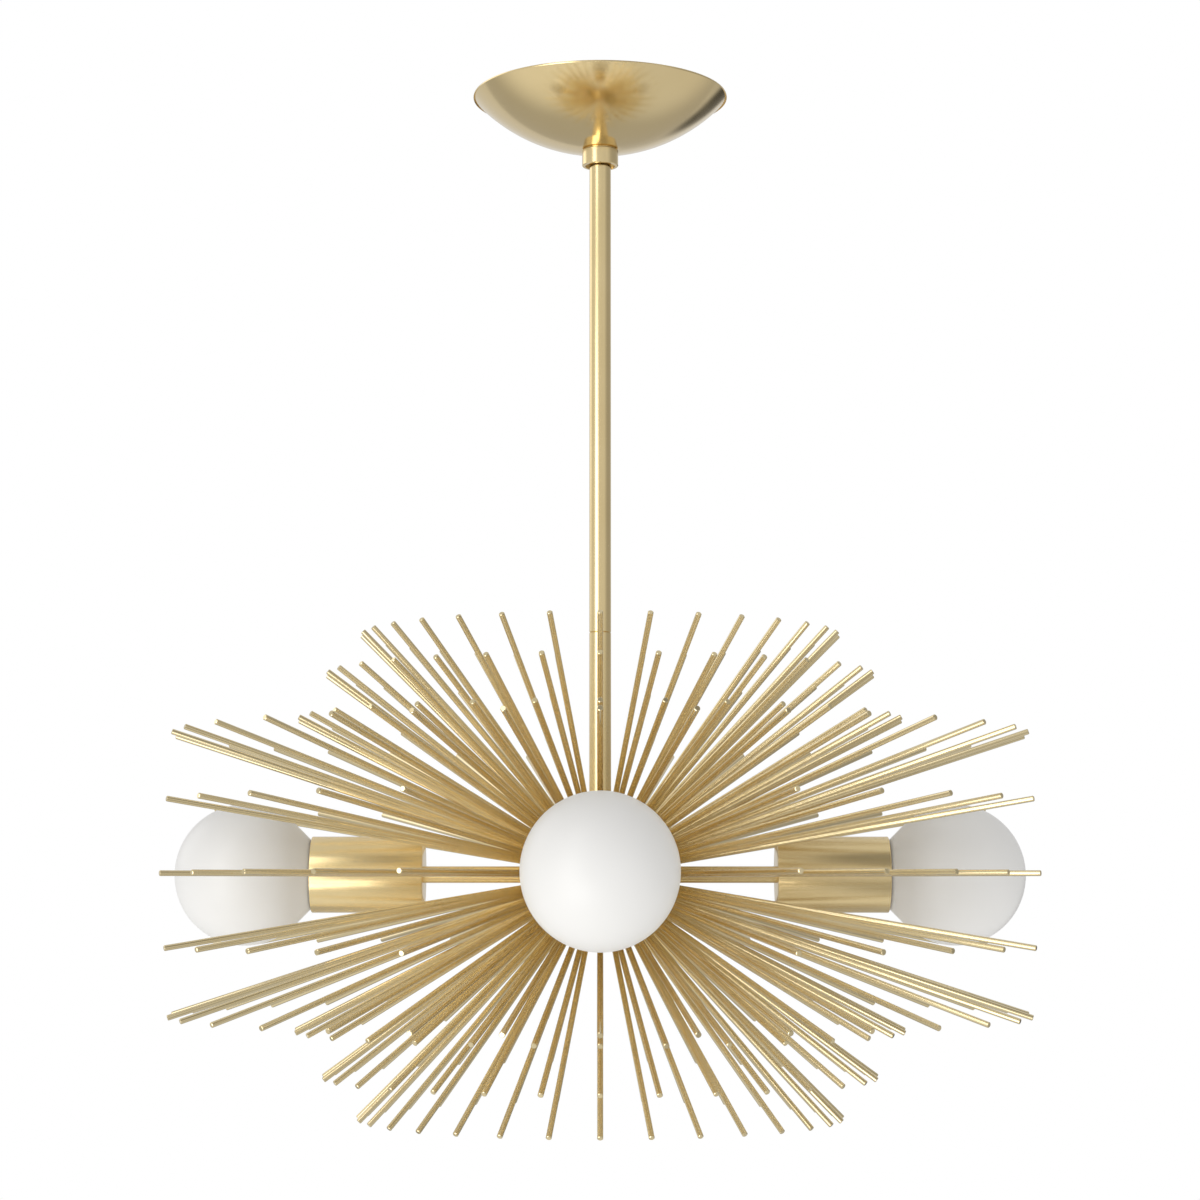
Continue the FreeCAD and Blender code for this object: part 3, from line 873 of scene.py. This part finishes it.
# Rods: drawn brass rod cut to two lengths, the free end faced and chamfered, and the other
# let into the ball. They stand in eleven rings, nine degrees apart.
rod_r = 3.175 * MM / 2
rod_sides = 16
rod_chamfer = 0.35 * MM
rod_seat = 1.0 * MM
long_tip_r = 258.6 * MM
short_tip_r = 196.0 * MM
ring_angle = math.radians(9.0)
ring_steps = 5
long_ring_steps = 2
lamp_ring_steps = 1
lamp_gap_places = 1
places_round = 32
places_per_lamp = 8
# Painted shade: the rods' colours are the satin brass of the other parts made darker and paler. This
# stands in for the shade among the close-set rods and offsets the colour of their mutual reflections.
rod_color_painted_shade = (0.78, 0.657, 0.402, 1)
rod_deep_tone_painted_shade = (0.74, 0.617, 0.367, 1)
rod_roughness = 0.10
rod_grain_depth = 0.00002 * MM
rod_grain = (5, 1, 1)
rod_brass = satin_brass(
    "rod_brass", rod_color_painted_shade, rod_deep_tone_painted_shade, rod_roughness, rod_grain_depth, rod_grain, grain_source="UV"
)


def drawn_rod(tip_r):
    """One rod along +Z from inside the ball to its tip, with the tip's edge chamfered."""
    rod = round_bar(rod_r, ball_r - rod_seat, tip_r, sides=rod_sides)
    chamfer_from = tip_r - rod_chamfer
    bevel_edges(rod, lambda start, end: min(start.z, end.z) > chamfer_from, rod_chamfer, segments=1)
    return rod


def copy_of(piece, placing):
    """A copy with a mesh of its own, moved to its place."""
    copy = piece.copy()
    copy.data = piece.data.copy()
    copy.data.transform(placing)
    bpy.context.scene.collection.objects.link(copy)
    return copy


ball_centre = Matrix.Translation((0, 0, hub_z))
long_rod = drawn_rod(long_tip_r)
short_rod = drawn_rod(short_tip_r)
for ring in range(-ring_steps, ring_steps + 1):
    rod = long_rod if abs(ring) <= long_ring_steps else short_rod
    lean = Matrix.Rotation(math.pi / 2 - ring_angle * ring, 4, "X")
    rods = []
    for place in range(places_round):
        from_lamp = min(place % places_per_lamp, -place % places_per_lamp)
        if abs(ring) <= lamp_ring_steps and from_lamp <= lamp_gap_places:
            continue
        turn = Matrix.Rotation(2 * math.pi * place / places_round, 4, "Z")
        rods.append(copy_of(rod, ball_centre @ turn @ lean))
    if ring == 0:
        node = "rods_equator"
    else:
        node = ("rods_upper_" if ring > 0 else "rods_lower_") + str(abs(ring))
    finish_piece(join(*rods), node + "_drawn", rod_brass, "fixture", "rod_brass", node)
bpy.data.objects.remove(long_rod)
bpy.data.objects.remove(short_rod)

# Arms: brass tubes that screw into the ball, level with its centre, and carry the cups. The
# lamps' pieces are made once along +Z and copied to the four places, with the grain turned.
arm_bore_r = 3.5 * MM
arm_r = (arm_high.z - arm_low.z) / 2
arm_sides = 48
arm_profile = [
    (arm_bore_r, -arm_high.x),
    (arm_bore_r, -arm_low.x),
    (arm_r, -arm_low.x),
    (arm_r, -arm_high.x),
    (arm_bore_r, -arm_high.x),
]
lamp_roughness = 0.24
grain_along_y = (2600, 30, 2600)
grain_along_x = (30, 2600, 2600)
brass_along_y = satin_brass(
    "lamp_brass_y", brass_color, brass_shade, lamp_roughness, drawn_grain_depth, grain_along_y
)
brass_along_x = satin_brass(
    "lamp_brass_x", brass_color, brass_shade, lamp_roughness, drawn_grain_depth, grain_along_x
)
lamp_brass = {"front": brass_along_y, "right": brass_along_x, "back": brass_along_y, "left": brass_along_x}
lamp_turns = {"front": 0.0, "right": 90.0, "back": 180.0, "left": 270.0}


def on_lamps(model, end, finish, body, slot, node):
    """Copies a piece made along +Z to the four lamps, in its node's place at each."""
    for place, degrees in lamp_turns.items():
        turn = Matrix.Rotation(math.radians(degrees), 4, "Z")
        lean = Matrix.Rotation(math.pi / 2, 4, "X")
        copy = copy_of(model, ball_centre @ turn @ lean)
        material = finish[place] if isinstance(finish, dict) else finish
        carrier = body + place if body.endswith("_") else body
        finish_piece(copy, node + "_" + place + end, material, carrier, slot, node + "_" + place)
    bpy.data.objects.remove(model)


on_lamps(turned(arm_profile, arm_sides), "_tube", lamp_brass, "fixture", "satin_brass", "arm")

# Socket cups: lengths of brass tube with a thick floor let in, clamped on the arm's end by a
# nut inside. The back edge is bevelled, and the lip of the open mouth is rounded over.
cup_low, cup_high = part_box("socket_cup_right")
cup_r = (cup_high.z - cup_low.z) / 2
cup_start = cup_low.x
cup_mouth = cup_high.x
cup_floor = cup_start + 2.0 * MM
cup_wall = 1.2 * MM
cup_edge = 0.5 * MM
cup_lip_r = 0.5 * MM
cup_hole_r = 4.87 * MM
cup_sides = 96
lip_steps = 4
cup_profile = [
    (cup_hole_r, cup_start),
    (cup_r - cup_edge, cup_start),
    (cup_r - cup_edge / 4, cup_start + cup_edge / 4),
    (cup_r, cup_start + cup_edge),
]
cup_profile += arc(cup_r - cup_lip_r, cup_mouth - cup_lip_r, cup_lip_r, math.pi / 2, math.pi, lip_steps)
inner_lip = cup_r - cup_wall + cup_lip_r
cup_profile += arc(inner_lip, cup_mouth - cup_lip_r, cup_lip_r, math.pi, 3 * math.pi / 2, lip_steps)
cup_profile += [
    (cup_r - cup_wall, cup_floor),
    (cup_hole_r, cup_floor),
    (cup_hole_r, cup_start),
]
on_lamps(turned(cup_profile, cup_sides), "_shell", lamp_brass, "fixture", "satin_brass", "socket_cup")

# Lampholders: a white glazed insulating body on the arm's end, with a deep well for the screw
# shell. The shell and the sprung contact are stamped brass and keep their own shapes.
holder_low, holder_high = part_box("lampholder_right")
holder_r = (holder_high.z - holder_low.z) / 2
holder_start = holder_low.x
holder_front = holder_high.x
holder_well_r = 14.2 * MM
holder_well = holder_start + 12.0 * MM
holder_round = 1.2 * MM
holder_sides = 64
porcelain_white = (0.84, 0.82, 0.78, 1)
porcelain_cream = (0.80, 0.77, 0.71, 1)
porcelain_roughness = 0.18
shell_pale = (0.80, 0.62, 0.33, 1)
shell_deep = (0.70, 0.50, 0.24, 1)
shell_roughness = 0.24
shell_spangle = 250
glaze_gloss = 0.6
glaze_cloud_scale = 60
glaze_relief_depth = 0.02 * MM
pale_gloss_change = 0.05
pale_relief = 0.2


def pale_surface(name, pale, deep, roughness, gloss, cloud_scale, relief_depth):
    """A glazed or opal surface, with a slow drift of tone and a faint unevenness."""
    surface = bpy.data.materials.new(name)
    surface.use_nodes = True
    nodes = surface.node_tree.nodes
    links = surface.node_tree.links
    shader = nodes["Principled BSDF"]
    shader.inputs["Specular IOR Level"].default_value = gloss
    place = nodes.new("ShaderNodeTexCoord").outputs["Object"]
    cloud = noise(nodes, links, place, cloud_scale, detail=0.0)
    tint(nodes, links, shader, cloud, pale, deep)
    polish(nodes, links, shader, cloud, roughness - pale_gloss_change, roughness + pale_gloss_change)
    emboss(nodes, links, shader, cloud, pale_relief, relief_depth)
    return surface


holder_profile = [
    (0, holder_start),
    (holder_r, holder_start),
    (holder_r, holder_front - holder_round),
    (holder_r - holder_round * round_middle, holder_front - holder_round * round_middle),
    (holder_r - holder_round, holder_front),
    (holder_well_r + holder_round / 2, holder_front),
    (holder_well_r, holder_front - holder_round / 2),
    (holder_well_r, holder_well),
    (0, holder_well),
]
porcelain = pale_surface(
    "glazed_porcelain",
    porcelain_white,
    porcelain_cream,
    porcelain_roughness,
    glaze_gloss,
    glaze_cloud_scale,
    glaze_relief_depth,
)
holder = turned(holder_profile, holder_sides)
on_lamps(holder, "_body", porcelain, "fixture", "holder_insulator", "lampholder")
stamped_brass = plated_metal("stamped_brass", shell_pale, shell_deep, shell_roughness, shell_spangle)
for place in lamp_turns:
    dress(stamped_brass, "holder_shell_" + place, "holder_contact_" + place)

# Screw caps: thin bright aluminium with a rolled thread of seven turns to the inch, closed by
# black glass round the solder contact. They hold the globes' necks.
cap_low, cap_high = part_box("bulb_cap_right")
cap_r = (cap_high.z - cap_low.z) / 2
cap_face = cap_low.x
cap_rim = cap_high.x
cap_wall = 0.6 * MM
cap_tip_r = 8.0 * MM
cap_taper = 3.6 * MM
cap_floor_t = 2.2 * MM
cap_collar = 4.0 * MM
cap_pitch = 25.4 * MM / 7
cap_rise = 0.7 * MM
cap_turns = 3
cap_root_r = cap_r - cap_rise
cap_sides = 64
cap_thread_corners = 12
cap_pale = (0.80, 0.80, 0.80, 1)
cap_deep = (0.70, 0.70, 0.71, 1)
cap_roughness = 0.22
cap_spangle = 200
solder_pale = (0.62, 0.62, 0.60, 1)
solder_deep = (0.48, 0.48, 0.47, 1)
solder_roughness = 0.36
solder_spangle = 500
glass_black = (0.012, 0.012, 0.014, 1)
glass_ink = (0.03, 0.03, 0.034, 1)
glass_roughness = 0.12
glass_gloss = 0.7
glass_cloud_scale = 90
glass_reach = cap_face + cap_taper * 0.9
cap_profile = [
    (0, cap_face),
    (cap_tip_r, cap_face),
    (cap_root_r, cap_face + cap_taper),
    (cap_root_r, cap_rim - cap_collar),
    (cap_r, cap_rim - cap_collar + cap_rise),
    (cap_r, cap_rim),
    (cap_root_r - cap_wall, cap_rim),
    (cap_root_r - cap_wall, cap_face + cap_taper + cap_wall),
    (cap_tip_r, cap_face + cap_floor_t),
    (0, cap_face + cap_floor_t),
]
cap = turned(cap_profile, cap_sides)
cap_ridge = thread(
    cap_root_r, cap_rise, cap_pitch, cap_face + cap_taper, cap_turns, cap_thread_corners, cap_sides
)
join(cap, cap_ridge)
rolled_metal = plated_metal("rolled_aluminium", cap_pale, cap_deep, cap_roughness, cap_spangle)
black_glass = pale_surface(
    "black_glass",
    glass_black,
    glass_ink,
    glass_roughness,
    glass_gloss,
    glass_cloud_scale,
    glaze_relief_depth,
)
on_lamps(cap, "_rolled", rolled_metal, "bulb_", "bulb_base_metal", "bulb_cap")
for place, degrees in lamp_turns.items():
    cap = bpy.data.objects["bulb_cap_" + place + "_rolled"]
    cap.data.materials.append(black_glass)
    outward = Matrix.Rotation(math.radians(degrees), 3, "Z") @ Vector((0, -1, 0))
    for face in cap.data.polygons:
        middle = face.center - Vector((0, 0, hub_z))
        along = middle.dot(outward)
        from_axis = (middle - outward * along).length
        if along < glass_reach and from_axis < cap_root_r:
            face.material_index = 1
solder = plated_metal("solder", solder_pale, solder_deep, solder_roughness, solder_spangle)
for place in lamp_turns:
    dress(solder, "bulb_tip_" + place)

# Bulbs: opal glass globes, blown round and etched satin. The neck swells to a cone that meets
# the globe, and goes down into the screw cap.
bulb_low, bulb_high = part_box("bulb_globe_right")
globe_r = (bulb_high.z - bulb_low.z) / 2
globe_end = bulb_high.x
globe_centre = globe_end - globe_r
neck_start = bulb_low.x
neck_r = 12.3 * MM
neck_bend_r = 12.0 * MM
neck_slope = math.radians(45.0)
bend_steps = 10
globe_rings = 44
globe_sides = 128
opal_white = (0.88, 0.87, 0.85, 1)
opal_cream = (0.87, 0.86, 0.835, 1)
opal_roughness = 0.34
opal_gloss = 0.3
opal_cloud_scale = 14
opal_relief_depth = 0.002 * MM
bend_end_x = neck_r + neck_bend_r * (1 - math.cos(neck_slope))
join_r = globe_r * math.cos(neck_slope)
join_z = globe_centre - globe_r * math.sin(neck_slope)
bend_end_z = join_z - (join_r - bend_end_x) / math.tan(neck_slope)
bend_centre_z = bend_end_z - neck_bend_r * math.sin(neck_slope)
bend_centre_x = neck_r + neck_bend_r
bend_start = 3 * math.pi / 2
bend = arc(bend_centre_x, bend_centre_z, neck_bend_r, bend_start, bend_start - neck_slope, bend_steps)
globe_curve = arc(0, globe_centre, globe_r, math.pi / 2 - neck_slope, math.pi, globe_rings)
globe_profile = [(0, neck_start), (neck_r, neck_start)] + bend + globe_curve[:-1] + [(0, globe_end)]
opal = pale_surface(
    "opal_glass",
    opal_white,
    opal_cream,
    opal_roughness,
    opal_gloss,
    opal_cloud_scale,
    opal_relief_depth,
)
on_lamps(turned(globe_profile, globe_sides), "_opal", opal, "bulb_", "opal_glass", "bulb_globe")
